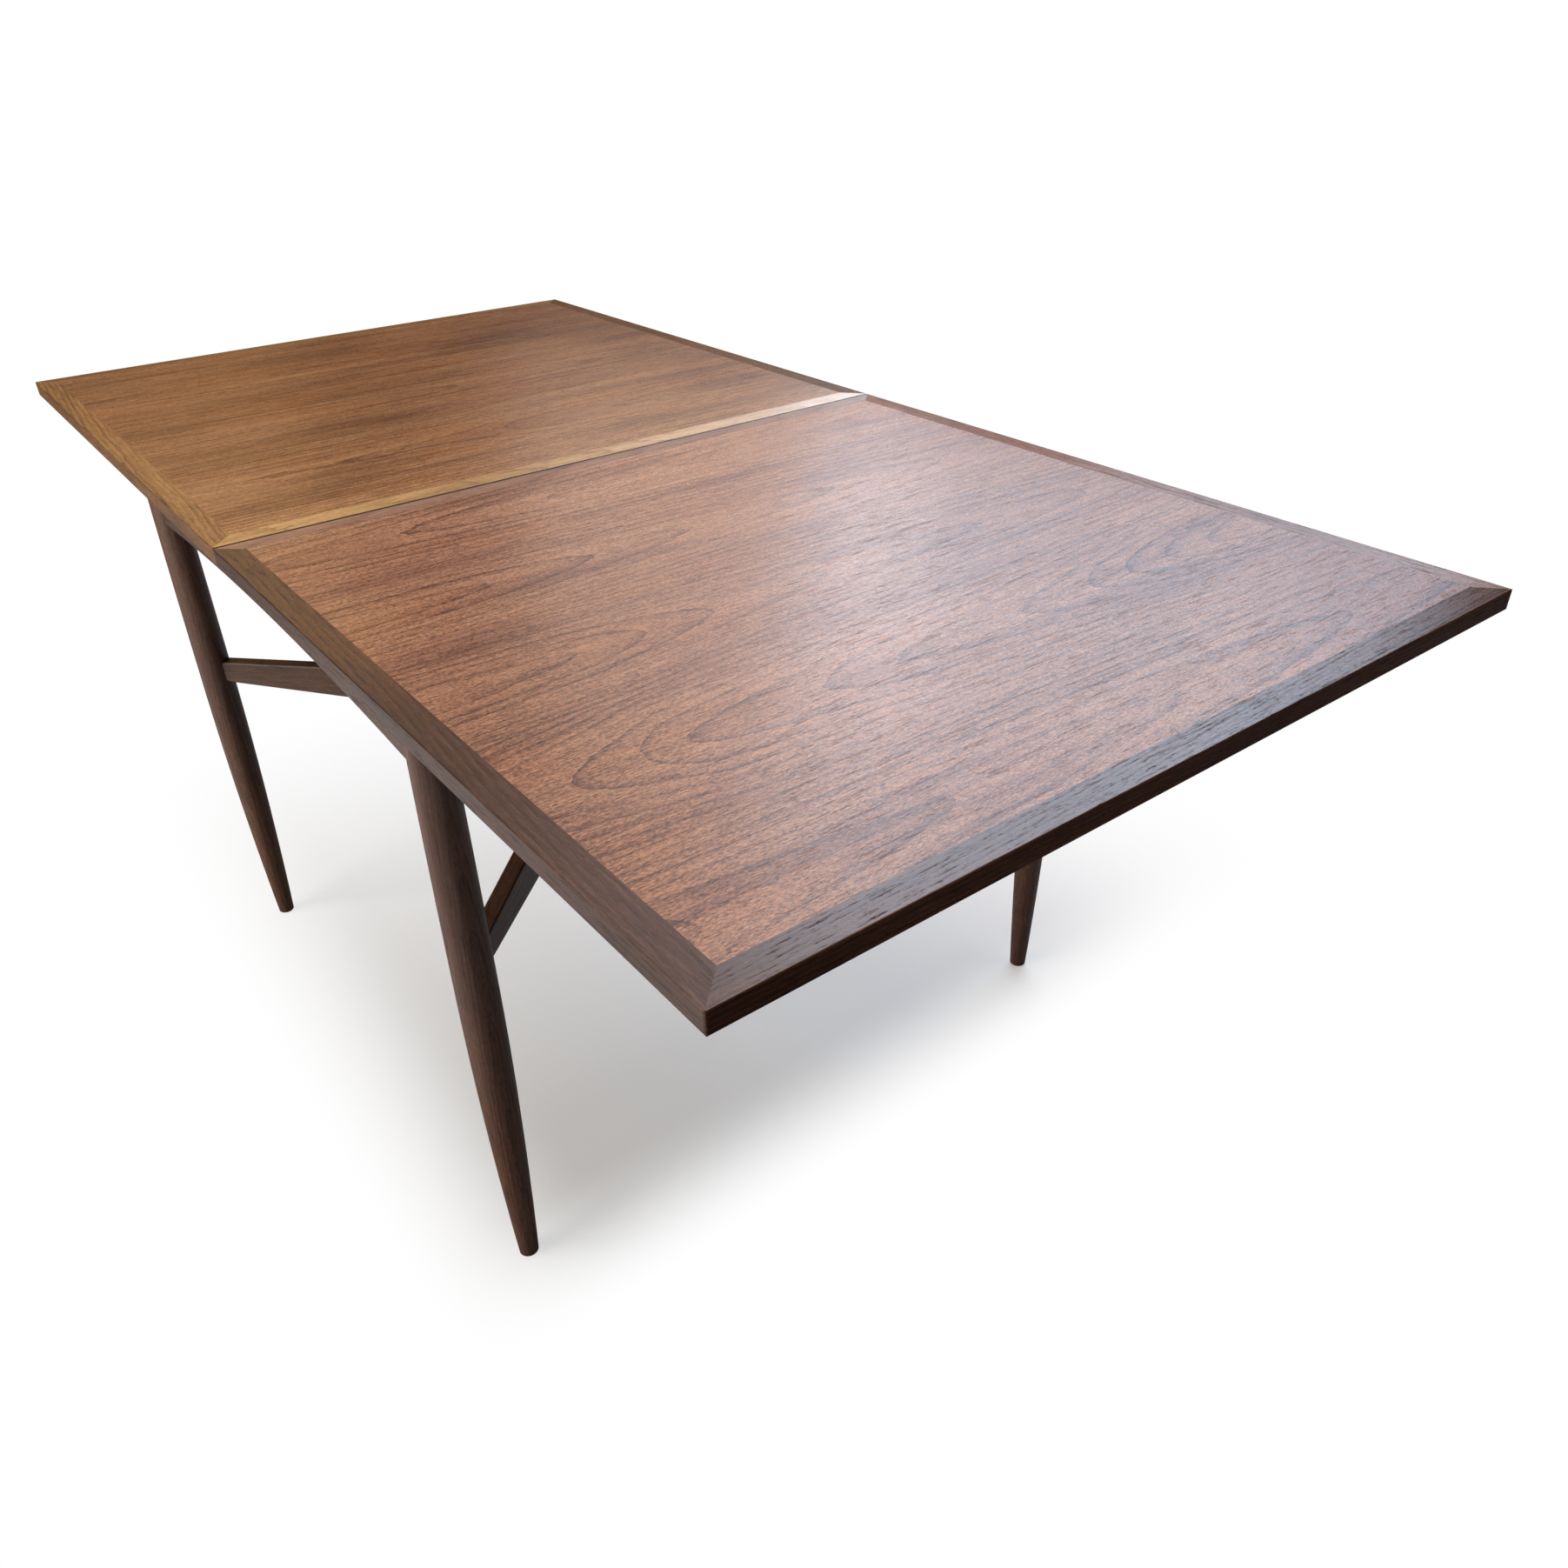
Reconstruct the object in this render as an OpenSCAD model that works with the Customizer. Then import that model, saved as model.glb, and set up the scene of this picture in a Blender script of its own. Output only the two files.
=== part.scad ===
// Flip-top dining table: two square leaves on a base of four turned legs.
// The far leaf slides over the base and the near leaf folds over on top of it.
// X runs along the seam, Y along the open table, Z up, origin on the floor under the seam.

/* [Leaves] */
// Width of the top along the seam
top_w = 914; // [760:1:1070]
// Length of one leaf from the seam line to its free end
leaf_l = 914; // [760:1:1070]
// Height of the flat field of the top above the floor
table_h = 757; // [700:1:790]
// Thickness of a leaf at its field
leaf_t = 22; // [18:0.5:26]
// Open gap between the two leaves at the seam
seam_gap = 1.2; // [0.6:0.1:2]
// Gap between the two fields when the near leaf lies folded on the far leaf
fold_gap = 0.3; // [0.2:0.1:1]
// Corner radius of a leaf seen from above
corner_r = 3; // [1:0.5:8]

/* [Edge bands] */
// Width of the solid mitred band round a field
band_w = 27.5; // [24:0.5:45]
// Fall of the band from the field to its lip
band_fall = 0.9; // [0:0.1:2]
// Radius of the upper arris of a band
lip_r = 1.2; // [0.5:0.1:2]
// Radius of the lower arris of a band
under_r = 3; // [0.5:0.5:6]
// Radius of the arrises along the seam
seam_r = 0.5; // [0.3:0.1:1.5]
// Thickness of the tongue round a panel
tongue_t = 6; // [4:0.5:8]
// Length of the tongue round a panel
tongue_l = 7; // [4:0.5:8]

/* [Concealed hinges] */
// Distance from an outer hinge to the side edge of the top
hinge_inset = 157; // [100:1:330]
// Length of a hinge face plate
cup_l = 60; // [54:1:70]
// Width of a hinge cup across the leaf thickness
cup_w = 12.6; // [11:0.2:14]
// Depth of a hinge cup into the band
cup_d = 16; // [15:0.5:17]
// Thickness of a hinge face plate
plate_t = 3; // [2.6:0.2:4]
// Diameter of a hinge pin
hinge_pin_d = 3; // [2:0.1:3.4]
// Width of one link plate along its pin
link_t = 4.2; // [3:0.1:4.4]
// Depth of a link plate across the leaf thickness
link_w = 4.7; // [3:0.1:5]
// Shank diameter of a hinge screw
hinge_screw_d = 3; // [2.5:0.1:3.5]
// Length of a hinge screw
hinge_screw_l = 16; // [12:1:18]

/* [Base frame] */
// Distance from a leg axis to the side edge of the top
leg_inset_side = 44; // [36:1:90]
// Distance from a leg axis to the end edge of the closed top
leg_inset_end = 39; // [36:1:90]
// Thickness of the rails
rail_t = 25; // [20:1:30]
// Depth of the rails where they meet the legs
rail_h = 72; // [56:1:90]
// Rise of the arch under a rail
arch_rise = 17.5; // [6:0.5:26]
// Chamfer along the lower edges of the rails and along the stretchers
ease = 1.5; // [0.5:0.1:3]

/* [Legs] */
// Diameter of a leg at the foot
foot_d = 22; // [18:0.5:28]
// Largest diameter of a leg
belly_d = 43.8; // [38:0.2:48]
// Height of the largest diameter
belly_h = 400; // [300:5:480]
// Diameter of a leg at the top
leg_top_d = 40; // [36:0.2:43.8]
// Height of the glide under a leg
glide_h = 1.5; // [1.5:0.5:6]
// Diameter of the glide under a leg
glide_d = 18; // [14:0.5:20]

/* [Stretchers] */
// Height of the flat upper face of the stretchers
stretcher_top = 453; // [380:1:500]
// Thickness of a stretcher
stretcher_t = 20; // [16:1:26]
// Depth of a stretcher where it meets a leg
stretcher_end_h = 30.5; // [22:0.5:40]
// Depth of a stretcher at the crossing
stretcher_mid_h = 71; // [44:1:80]
// Half length of the level part under the crossing
stretcher_flat = 110; // [60:1:160]
// Radius of the lower corner of a stretcher at a leg
shoulder_r = 6; // [2:0.5:10]

/* [Slides] */
// Distance of a slide track from the side edge of the top
track_inset = 237; // [170:1:330]
// Width of a slide track
track_w = 22; // [20:1:30]
// Height of a slide track
track_h = 32; // [28:1:36]
// Depth of the groove in a track
groove_d = 10; // [6:0.5:12]
// Height of the groove in a track
groove_h = 11; // [8:0.5:14]
// Depth of the housing that holds a track end in an end rail
housing_d = 5; // [3:0.5:8]
// Width of a runner under the far leaf
runner_w = 20; // [16:1:26]
// Height of a runner under the far leaf
runner_h = 28; // [26:1:32]
// Side clearance and height clearance of a runner in its track
slide_clear = 0.5; // [0.3:0.1:1]
// Thickness of the felt strips on the side rails
felt_t = 1; // [0.8:0.1:2]
// Width of the felt strips on the side rails
felt_w = 14; // [8:1:18]
// Thickness of the buffers that stop the slide
buffer_t = 5; // [3:0.5:8]
// Diameter of the buffers that stop the slide
buffer_d = 16; // [10:1:18]

/* [Joinery] */
// Thickness of the tenons in the legs
tenon_t = 9; // [7:0.5:11]
// Distance of a tenon's end from the leg axis
tenon_stop = 6; // [5.6:0.1:9]
// Height left above and below a rail tenon
tenon_shoulder = 9; // [6:1:14]
// Height left above and below a stretcher tenon
stretcher_shoulder = 6; // [4:1:8]
// Length of a corner block along a rail
block_l = 66; // [54:1:80]
// Height of a corner block
block_h = 34; // [24:1:44]
// Distance from a corner block to the frame top
block_drop = 10; // [4:1:14]
// Diameter of the wood screws
screw_d = 4.2; // [3.5:0.1:5]
// Head diameter of the wood screws
head_d = 8; // [7:0.1:9]

/* [Hidden] */

// Clearances and small fixed sizes
glue_gap = 0.15;     // round a tenon, a tongue or a hinge cup
cope_gap = 0.1;      // between a rail end and the round leg
run_gap = 0.3;       // over the felt, and at the ends of the slide
pin_gap = 0.05;      // round a hinge pin or a screw, on the radius
bite = 1;            // how far a cutter reaches past the face that it cuts
arc_steps = 6;       // facets in a quarter of a small arris
cup_wall = 2;        // wall of a hinge cup above and below its cavity
cup_side = 4;        // wall of a hinge cup beside its cavity
cup_body_l = 40;     // length of the deep part of a hinge cup
link_span = 30;      // half angle of the curved part of a link
link_pitch = 5;      // from one link plate to the next along the pin
link_count = 6;      // link plates of both leaves side by side in one hinge
links_out = 9.5;     // distance of a hinge pin from the seam face
eye_r = 2.6;         // radius of the eye of a link plate
hinge_head_d = 6;    // head diameter of a hinge screw
cone_h = 2.4;        // height of a countersunk screw head
slot_w = 1;          // screwdriver slot
slot_h = 0.9;
nail_d = 2.6;        // nail of a glide
nail_l = 13;
foot_ease = 1;       // chamfer round the foot
foot_swell = 0.9;    // under 1, a leg swells sooner above its foot than a sine
block_clip = 14;     // corner of a block cut off to clear the leg
block_screw_at = 44; // distance of a block screw from the rail that it runs along
block_screw_l = 28;
runner_screw_l = 32;
runner_sink = 8;     // counterbore for the screws of a runner
runner_screws_n = 3;
runner_screw_end = 40;
lap_screw_l = 50;
round_fn = 72;       // facets of a drawn circle, a true circle in the solid
arch_fn = 900;

// Derived places
leg_x = top_w / 2 - leg_inset_side;
hinge_pitch = top_w / 2 - hinge_inset;
track_x = top_w / 2 - track_inset;
leg_y = leaf_l / 2 - leg_inset_end;
leaf_low = table_h - leaf_t;
frame_top = leaf_low - felt_t - run_gap;
seam_y = seam_gap / 2;
travel = leaf_l / 2;
axis_z = table_h + fold_gap / 2;
hinge_z = leaf_low + leaf_t / 2 - 0.5;
hinge_r = axis_z - hinge_z;
link_in = hinge_r - link_w / 2;
link_out = hinge_r + link_w / 2;
cavity_w = cup_w - 2 * cup_wall;
cavity_l = cup_body_l - 2 * cup_side;
cavity_d = cup_d - plate_t;
end_inner = leg_y - rail_t / 2;
side_inner = leg_x - rail_t / 2;
runner_far = end_inner - buffer_t - run_gap;
runner_near = travel - runner_far;
runner_x = track_x - track_w / 2 - slide_clear - runner_w / 2;
tongue_z = frame_top - track_h / 2;
tongue_h = groove_h - 2 * slide_clear;
diag = norm([leg_x, leg_y]);
diag_angle = atan2(leg_y, leg_x);
lap_z = stretcher_top - stretcher_mid_h / 2;
screw_step = (runner_far - runner_near - 2 * runner_screw_end) / (runner_screws_n - 1);
runner_screw_ys = [for (i = [0:runner_screws_n - 1]) runner_near + runner_screw_end + i * screw_step];

// Points along an arc, from angle a to angle b
function arc(c, r, a, b, n = arc_steps) =
    [for (i = [0:n]) c + r * [cos(a + (b - a) * i / n), sin(a + (b - a) * i / n)]];

// Radius of a leg at height z: a bent quarter sine up to the belly, then a slow taper to the top
function leg_r(z) = z < belly_h
    ? (foot_d + (belly_d - foot_d) * pow(sin(90 * z / belly_h), foot_swell)) / 2
    : (belly_d - (belly_d - leg_top_d) * (1 - cos(90 * (z - belly_h) / (frame_top - belly_h)))) / 2;

// Places a far leaf shape as it is, or turns it over to the near side
module near_side() {
    mirror([0, 1, 0]) children();
}

module quarter(sx, sy) {
    mirror([sx < 0 ? 1 : 0, 0, 0]) mirror([0, sy < 0 ? 1 : 0, 0]) children();
}

module box(x0, x1, y0, y1, z0, z1) {
    translate([x0, y0, z0]) cube([x1 - x0, y1 - y0, z1 - z0]);
}

module band_colour() {
    color("#5d4233") children();
}

module brass() {
    color("#b08a3e") children();
}

module steel() {
    color("#a8a8a4") children();
}

// Countersunk wood screw with its head at z = 0, pointing down
module screw(l, d = screw_d, head = head_d) {
    difference() {
        union() {
            translate([0, 0, -cone_h]) cylinder(h = cone_h, d1 = d, d2 = head, $fn = round_fn);
            translate([0, 0, -l + d]) cylinder(h = l - d - cone_h / 2, d = d, $fn = round_fn);
            translate([0, 0, -l]) cylinder(h = d, d1 = 0.4, d2 = d, $fn = round_fn);
        }
        box(-head, head, -slot_w / 2, slot_w / 2, -slot_h, bite);
    }
}

// The hole that the same screw needs
module screw_hole(l, d = screw_d, head = head_d, sink = 0) {
    wide = head + 2 * pin_gap;
    thin = d + 2 * pin_gap;
    translate([0, 0, -l - run_gap]) cylinder(h = l + run_gap + bite, d = thin, $fn = round_fn);
    translate([0, 0, -cone_h]) cylinder(h = cone_h, d1 = thin, d2 = wide, $fn = round_fn);
    if (sink > 0) cylinder(h = sink + bite, d = wide, $fn = round_fn);
}

// Leaves
// Outline of the far leaf with its rounded corners
module leaf_outline() {
    x = top_w / 2;
    y0 = seam_y + corner_r;
    y1 = leaf_l - corner_r;
    translate([-x, y0]) square([top_w, y1 - y0]);
    translate([-x + corner_r, seam_y]) square([top_w - 2 * corner_r, leaf_l - seam_y]);
    for (sx = [-1, 1], y = [y0, y1]) translate([sx * (x - corner_r), y]) circle(corner_r, $fn = round_fn);
}

// Section of a band: u runs inward from the lip, v up from the underside
module band_section(low_r, high_r) {
    lip_v = leaf_t - band_fall;
    groove_low = (leaf_t - tongue_t) / 2 - glue_gap;
    groove_high = (leaf_t + tongue_t) / 2 + glue_gap;
    groove_u = band_w - tongue_l - glue_gap;
    polygon(concat(
        arc([low_r, low_r], low_r, 270, 180),
        arc([high_r, lip_v - high_r], high_r, 180, 90),
        [[band_w, leaf_t], [band_w, groove_high], [groove_u, groove_high]],
        [[groove_u, groove_low], [band_w, groove_low], [band_w, 0]]
    ));
}

// A band along +Y with its lip on the plane x = 0, l long
module band_bar(l, low_r, high_r) {
    translate([0, l, leaf_low]) rotate([90, 0, 0]) linear_extrude(l) band_section(low_r, high_r);
}

// Trapezoid that mitres a band at both ends
module mitre(l) {
    translate([0, 0, leaf_low - bite]) linear_extrude(leaf_t + 2 * bite)
        polygon([[0, 0], [band_w, band_w], [band_w, l - band_w], [0, l]]);
}

module mitred_band(l, low_r = under_r, high_r = lip_r) {
    intersection() {
        band_bar(l, low_r, high_r);
        mitre(l);
    }
}

module round_leaf_corners() {
    intersection() {
        children();
        translate([0, 0, leaf_low - bite]) linear_extrude(leaf_t + 2 * bite) leaf_outline();
    }
}

module side_band(sx) {
    l = leaf_l - seam_y;
    band_colour() round_leaf_corners() quarter(sx, 1)
        translate([top_w / 2, leaf_l, 0]) rotate(180) mitred_band(l);
}

module end_band() {
    band_colour() round_leaf_corners()
        translate([-top_w / 2, leaf_l, 0]) rotate(-90) mitred_band(top_w);
}

// Rounds the two ends of the seam band underneath, in line with the side bands
module round_ends() {
    x = top_w / 2 - under_r;
    intersection() {
        children();
        translate([0, 2 * band_w, leaf_low]) rotate([90, 0, 0]) linear_extrude(2 * band_w) polygon(concat(
            arc([x, under_r], under_r, 270, 360),
            [[top_w / 2, leaf_t + bite], [-top_w / 2, leaf_t + bite]],
            arc([-x, under_r], under_r, 180, 270)
        ));
    }
}

module seam_band() {
    band_colour() difference() {
        round_leaf_corners() round_ends()
            translate([top_w / 2, seam_y, 0]) rotate(90) mitred_band(top_w, seam_r, seam_r);
        at_hinges() {
            cup_shell(glue_gap);
            hinge_screw_places() screw_hole(hinge_screw_l, hinge_screw_d, hinge_head_d);
        }
    }
}

module panel() {
    x = top_w / 2 - band_w;
    y0 = seam_y + band_w;
    y1 = leaf_l - band_w;
    mid = leaf_low + leaf_t / 2;
    box(-x, x, y0, y1, leaf_low, table_h);
    box(-x - tongue_l, x + tongue_l, y0 - tongue_l, y1 + tongue_l, mid - tongue_t / 2, mid + tongue_t / 2);
}

module fixed_panel() {
    color("#8a5f45") difference() {
        panel();
        runner_screw_places() screw_hole(runner_screw_l, sink = runner_sink);
    }
}

module flip_panel() {
    color("#93664c") near_side() panel();
}

// Concealed hinges
module stadium(l, w) {
    square([l - w, w], center = true);
    for (sx = [-1, 1]) translate([sx * (l - w) / 2, 0]) circle(d = w, $fn = round_fn);
}

// Outside of a cup in the far leaf, grown by g for its pocket
module cup_shell(g = 0) {
    front = g > 0 ? bite : 0;
    for (part = [[cup_l, plate_t], [cup_body_l, cup_d]]) {
        translate([0, seam_y + part[1] + g, hinge_z]) rotate([90, 0, 0])
            linear_extrude(part[1] + g + front) stadium(part[0] + 2 * g, cup_w + 2 * g);
    }
}

module at_hinges() {
    for (i = [-1:1]) translate([i * hinge_pitch, 0, 0]) children();
}

module hinge_screw_places() {
    for (sx = [-1, 1]) translate([sx * (cup_l + cup_body_l) / 4, seam_y, hinge_z])
        rotate([90, 0, 0]) children();
}

module pin_place(l) {
    translate([-l / 2, seam_y + links_out, hinge_z]) rotate([0, 90, 0]) children();
}

// Hinge number i, counted from -1 at the left to 1 at the right
module hinge_cup(i) {
    hole_l = cavity_l + cup_side;
    brass() translate([i * hinge_pitch, 0, 0]) difference() {
        cup_shell();
        box(-cavity_l / 2, cavity_l / 2, seam_y - bite, seam_y + cavity_d,
            hinge_z - cavity_w / 2, hinge_z + cavity_w / 2);
        pin_place(hole_l) cylinder(h = hole_l, d = hinge_pin_d + 2 * pin_gap, $fn = round_fn);
        hinge_screw_places() screw_hole(hinge_screw_l, hinge_screw_d, hinge_head_d);
    }
}

module hinge_pins() {
    pin_l = cavity_l + cup_side - 2 * pin_gap;
    steel() at_hinges() pin_place(pin_l) cylinder(h = pin_l, d = hinge_pin_d, $fn = round_fn);
}

module hinge_screws() {
    steel() at_hinges() hinge_screw_places() screw(hinge_screw_l, hinge_screw_d, hinge_head_d);
}

// Link plate: an arc about the fold axis that a stem ties to the eye on the pin
module link_plate() {
    eye = [seam_y + links_out, -hinge_r];
    root = hinge_r * [sin(link_span * 0.8), -cos(link_span * 0.8)];
    stem = eye - root;
    reach = link_out + bite;
    difference() {
        union() {
            intersection() {
                circle(link_out, $fn = round_fn);
                polygon([[0, 0], reach * 2 * [sin(-link_span), -cos(link_span)],
                    reach * 2 * [sin(link_span), -cos(link_span)]]);
            }
            translate(root) rotate(atan2(stem[1], stem[0])) translate([-eye_r / 2, -eye_r * 0.8])
                square([norm(stem) + eye_r / 2, eye_r * 1.6]);
            translate(eye) circle(eye_r, $fn = round_fn);
        }
        circle(link_in, $fn = round_fn);
        translate(eye) circle(d = hinge_pin_d + 2 * pin_gap, $fn = round_fn);
    }
}

// The plates of one leaf take every second place along the pin
module hinge_links(first) {
    brass() at_hinges() for (i = [first:2:link_count - 1]) {
        x = (i - (link_count - 1) / 2) * link_pitch;
        translate([x - link_t / 2, 0, axis_z]) rotate([90, 0, 90]) linear_extrude(link_t) link_plate();
    }
}

// Legs
module leg_body(grow = 0) {
    steps = 24;
    low = glide_h + foot_ease;
    step = (frame_top - low) / steps;
    side = [for (i = [0:steps]) [leg_r(low + i * step) + grow, low + i * step]];
    foot = [[0, glide_h], [leg_r(low) - foot_ease + grow, glide_h]];
    translate([leg_x, leg_y, 0]) rotate_extrude($fn = round_fn)
        polygon(concat(foot, side, [[0, frame_top]]));
}

// Tenons that enter the far right leg, or with g > 0 their mortises
module side_rail_tenon(g = 0) {
    box(leg_x - tenon_t / 2 - g, leg_x + tenon_t / 2 + g,
        leg_y - leg_r(frame_top) - 4 * bite, leg_y - tenon_stop + g,
        frame_top - rail_h + tenon_shoulder - g, frame_top - tenon_shoulder + g);
}

module end_rail_tenon(g = 0) {
    box(leg_x - leg_r(frame_top) - 4 * bite, leg_x - tenon_stop + g,
        leg_y - tenon_t / 2 - g, leg_y + tenon_t / 2 + g,
        frame_top - rail_h + tenon_shoulder - g, frame_top - tenon_shoulder + g);
}

module stretcher_tenon(g = 0) {
    rotate(diag_angle) box(diag - leg_r(stretcher_top) - 4 * bite, diag - tenon_stop + g,
        -tenon_t / 2 - g, tenon_t / 2 + g,
        stretcher_top - stretcher_end_h + stretcher_shoulder - g, stretcher_top - stretcher_shoulder + g);
}

module leg(sx, sy) {
    color("#4a3328") quarter(sx, sy) difference() {
        leg_body();
        side_rail_tenon(glue_gap);
        end_rail_tenon(glue_gap);
        stretcher_tenon(glue_gap);
        translate([leg_x, leg_y, glide_h - bite])
            cylinder(h = nail_l + bite, d = nail_d + 2 * pin_gap, $fn = round_fn);
    }
}

module glide(sx, sy) {
    steel() quarter(sx, sy) translate([leg_x, leg_y, 0]) {
        rotate_extrude($fn = round_fn)
            polygon([[0, 0], [glide_d / 2 - 1, 0], [glide_d / 2, 1], [glide_d / 2, glide_h], [0, glide_h]]);
        cylinder(h = glide_h + nail_l - 2, d = nail_d, $fn = round_fn);
    }
}

// Rails
// Cutter for the arch under a rail of half length h, with its flared edges
module arch_cutter(h) {
    r = (h * h + arch_rise * arch_rise) / (2 * arch_rise);
    t = rail_t / 2;
    translate([0, 0, frame_top - rail_h + arch_rise - r]) rotate([90, 0, 0]) rotate_extrude($fn = arch_fn)
        polygon([[0, -t - bite], [r + ease + bite, -t - bite], [r, -t + ease],
            [r, t - ease], [r + ease + bite, t + bite], [0, t + bite]]);
}

// A rail along X between the leg axes, h to each side
module rail_blank(h) {
    difference() {
        box(-h, h, -rail_t / 2, rail_t / 2, frame_top - rail_h, frame_top);
        arch_cutter(h);
    }
}

module four_legs(grow) {
    for (sx = [-1, 1], sy = [-1, 1]) quarter(sx, sy) leg_body(grow);
}

module side_rail(sx) {
    color("#553b2e") quarter(sx, 1) {
        difference() {
            translate([leg_x, 0, 0]) rotate(90) rail_blank(leg_y);
            four_legs(cope_gap);
            block_screw_holes();
        }
        for (sy = [-1, 1]) quarter(1, sy) side_rail_tenon();
    }
}

module end_rail(sy) {
    color("#4d352a") quarter(1, sy) {
        difference() {
            translate([0, leg_y, 0]) rail_blank(leg_x);
            four_legs(cope_gap);
            block_screw_holes();
            for (sx = [-1, 1]) quarter(sx, 1) track_housing();
        }
        for (sx = [-1, 1]) quarter(sx, 1) end_rail_tenon();
    }
}

// Corner blocks
// Block in the far right corner, against the inner faces of the two rails
module corner_block(sx, sy) {
    z0 = frame_top - block_drop - block_h;
    color("#9b7650") quarter(sx, sy) difference() {
        translate([side_inner, end_inner, z0]) linear_extrude(block_h)
            polygon([[-block_clip, 0], [-block_l, 0], [0, -block_l], [0, -block_clip]]);
        block_screw_holes();
    }
}

// The two screws of a far right block: one into the end rail, one into the side rail
module block_screw_places() {
    z = frame_top - block_drop - block_h / 2;
    rise = block_h / 5;
    depth = block_l - block_screw_at - head_d / 2 - bite;
    translate([side_inner - block_screw_at, end_inner - depth, z + rise]) rotate([90, 0, 0]) children();
    translate([side_inner - depth, end_inner - block_screw_at, z - rise]) rotate([0, -90, 0]) children();
}

module block_screw_holes() {
    for (sy = [-1, 1], sx = [-1, 1]) quarter(sx, sy)
        block_screw_places() screw_hole(block_screw_l, sink = block_l);
}

module corner_screws() {
    steel() for (sx = [-1, 1], sy = [-1, 1]) quarter(sx, sy)
        block_screw_places() screw(block_screw_l);
}

// Stretchers
// Half profile from the crossing outward: level, then a straight taper to the leg
module stretcher_profile(inset) {
    low_mid = stretcher_top - stretcher_mid_h + inset;
    leg_face = diag - leg_r(stretcher_top);
    low_end = stretcher_top - stretcher_end_h + inset;
    shoulder = arc([leg_face - shoulder_r, low_end + shoulder_r], shoulder_r, 270, 340, 4);
    tip = [[diag, low_end + shoulder_r], [diag, stretcher_top - inset]];
    right = concat([[stretcher_flat, low_mid]], shoulder, tip);
    left = [for (i = [len(right) - 1:-1:0]) [-right[i][0], right[i][1]]];
    polygon(concat(right, left));
}

// A whole stretcher along X with eased long edges
module stretcher_blank() {
    hull() for (inset = [0, ease]) {
        t = stretcher_t - 2 * (ease - inset);
        translate([0, t / 2, 0]) rotate([90, 0, 0]) linear_extrude(t) stretcher_profile(inset);
    }
}

module stretcher(a, keep_upper) {
    lap = stretcher_t + 2 * glue_gap;
    color("#50382d") {
        difference() {
            rotate(a) stretcher_blank();
            four_legs(cope_gap);
            rotate(-a) box(-diag / 2, diag / 2, -lap / 2, lap / 2,
                keep_upper ? 0 : lap_z, keep_upper ? lap_z : table_h);
            lap_screw_place() screw_hole(lap_screw_l, sink = stretcher_mid_h);
        }
        for (s = [-1, 1]) quarter(s, s * sign(a)) stretcher_tenon();
    }
}

module lap_screw_place() {
    translate([0, 0, stretcher_top - stretcher_mid_h + cone_h / 2]) rotate([180, 0, 0]) children();
}

module stretcher_screw() {
    steel() lap_screw_place() screw(lap_screw_l);
}

// Slides
// Housing in the far end rail for the end of the right track
module track_housing() {
    box(track_x - track_w / 2 - glue_gap, track_x + track_w / 2 + glue_gap,
        end_inner - bite, end_inner + housing_d + glue_gap,
        frame_top - track_h - glue_gap, frame_top + bite);
}

module slide_track(sx) {
    half = end_inner + housing_d;
    inner = track_x - track_w / 2;
    color("#b08a5c") quarter(sx, 1) difference() {
        box(inner, inner + track_w, -half, half, frame_top - track_h, frame_top);
        box(inner - bite, inner + groove_d, -half - bite, half + bite,
            tongue_z - groove_h / 2, tongue_z + groove_h / 2);
    }
}

module runner(sx) {
    x0 = runner_x - runner_w / 2;
    x1 = runner_x + runner_w / 2;
    tip = track_x - track_w / 2 + groove_d - slide_clear;
    color("#a98355") quarter(sx, 1) difference() {
        union() {
            box(x0, x1, runner_near, runner_far, leaf_low - runner_h, leaf_low);
            box(x1 - bite, tip, runner_near, runner_far, tongue_z - tongue_h / 2, tongue_z + tongue_h / 2);
        }
        runner_screw_places() screw_hole(runner_screw_l, sink = runner_sink);
    }
}

module runner_screw_places() {
    for (sx = [-1, 1], y = runner_screw_ys)
        translate([sx * runner_x, y, leaf_low - runner_h + runner_sink]) rotate([180, 0, 0]) children();
}

module runner_screws() {
    steel() runner_screw_places() screw(runner_screw_l);
}

module felt_strip(sx) {
    half = leg_y - leg_r(frame_top) - 2;
    color("#2f4a3a") quarter(sx, 1)
        box(leg_x - felt_w / 2, leg_x + felt_w / 2, -half, half, frame_top, frame_top + felt_t);
}

// Two buffers on the inner face of an end rail, in line with the runners
module buffers(sy) {
    z = frame_top - track_h / 2;
    color("#2b2a28") for (sx = [-1, 1]) quarter(sx, sy)
        translate([runner_x, end_inner - buffer_t, z]) rotate([-90, 0, 0])
            cylinder(h = buffer_t, d = buffer_d, $fn = round_fn);
}

// Assembly
leg(-1, -1);  // leg_near_left
leg(1, -1);  // leg_near_right
leg(-1, 1);  // leg_far_left
leg(1, 1);  // leg_far_right
glide(-1, -1);  // glide_near_left
glide(1, -1);  // glide_near_right
glide(-1, 1);  // glide_far_left
glide(1, 1);  // glide_far_right
side_rail(-1);  // side_rail_left
side_rail(1);  // side_rail_right
end_rail(-1);  // end_rail_near
end_rail(1);  // end_rail_far
corner_block(-1, -1);  // corner_block_near_left
corner_block(1, -1);  // corner_block_near_right
corner_block(-1, 1);  // corner_block_far_left
corner_block(1, 1);  // corner_block_far_right
corner_screws();
stretcher(diag_angle, true);  // stretcher_upper
stretcher(-diag_angle, false);  // stretcher_lower
stretcher_screw();
slide_track(-1);  // slide_track_left
slide_track(1);  // slide_track_right
felt_strip(-1);  // felt_strip_left
felt_strip(1);  // felt_strip_right
buffers(-1);  // buffers_near
buffers(1);  // buffers_far
fixed_panel();
side_band(-1);  // fixed_band_left
side_band(1);  // fixed_band_right
end_band();  // fixed_band_end
seam_band();  // fixed_band_seam
runner(-1);  // runner_left
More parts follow.
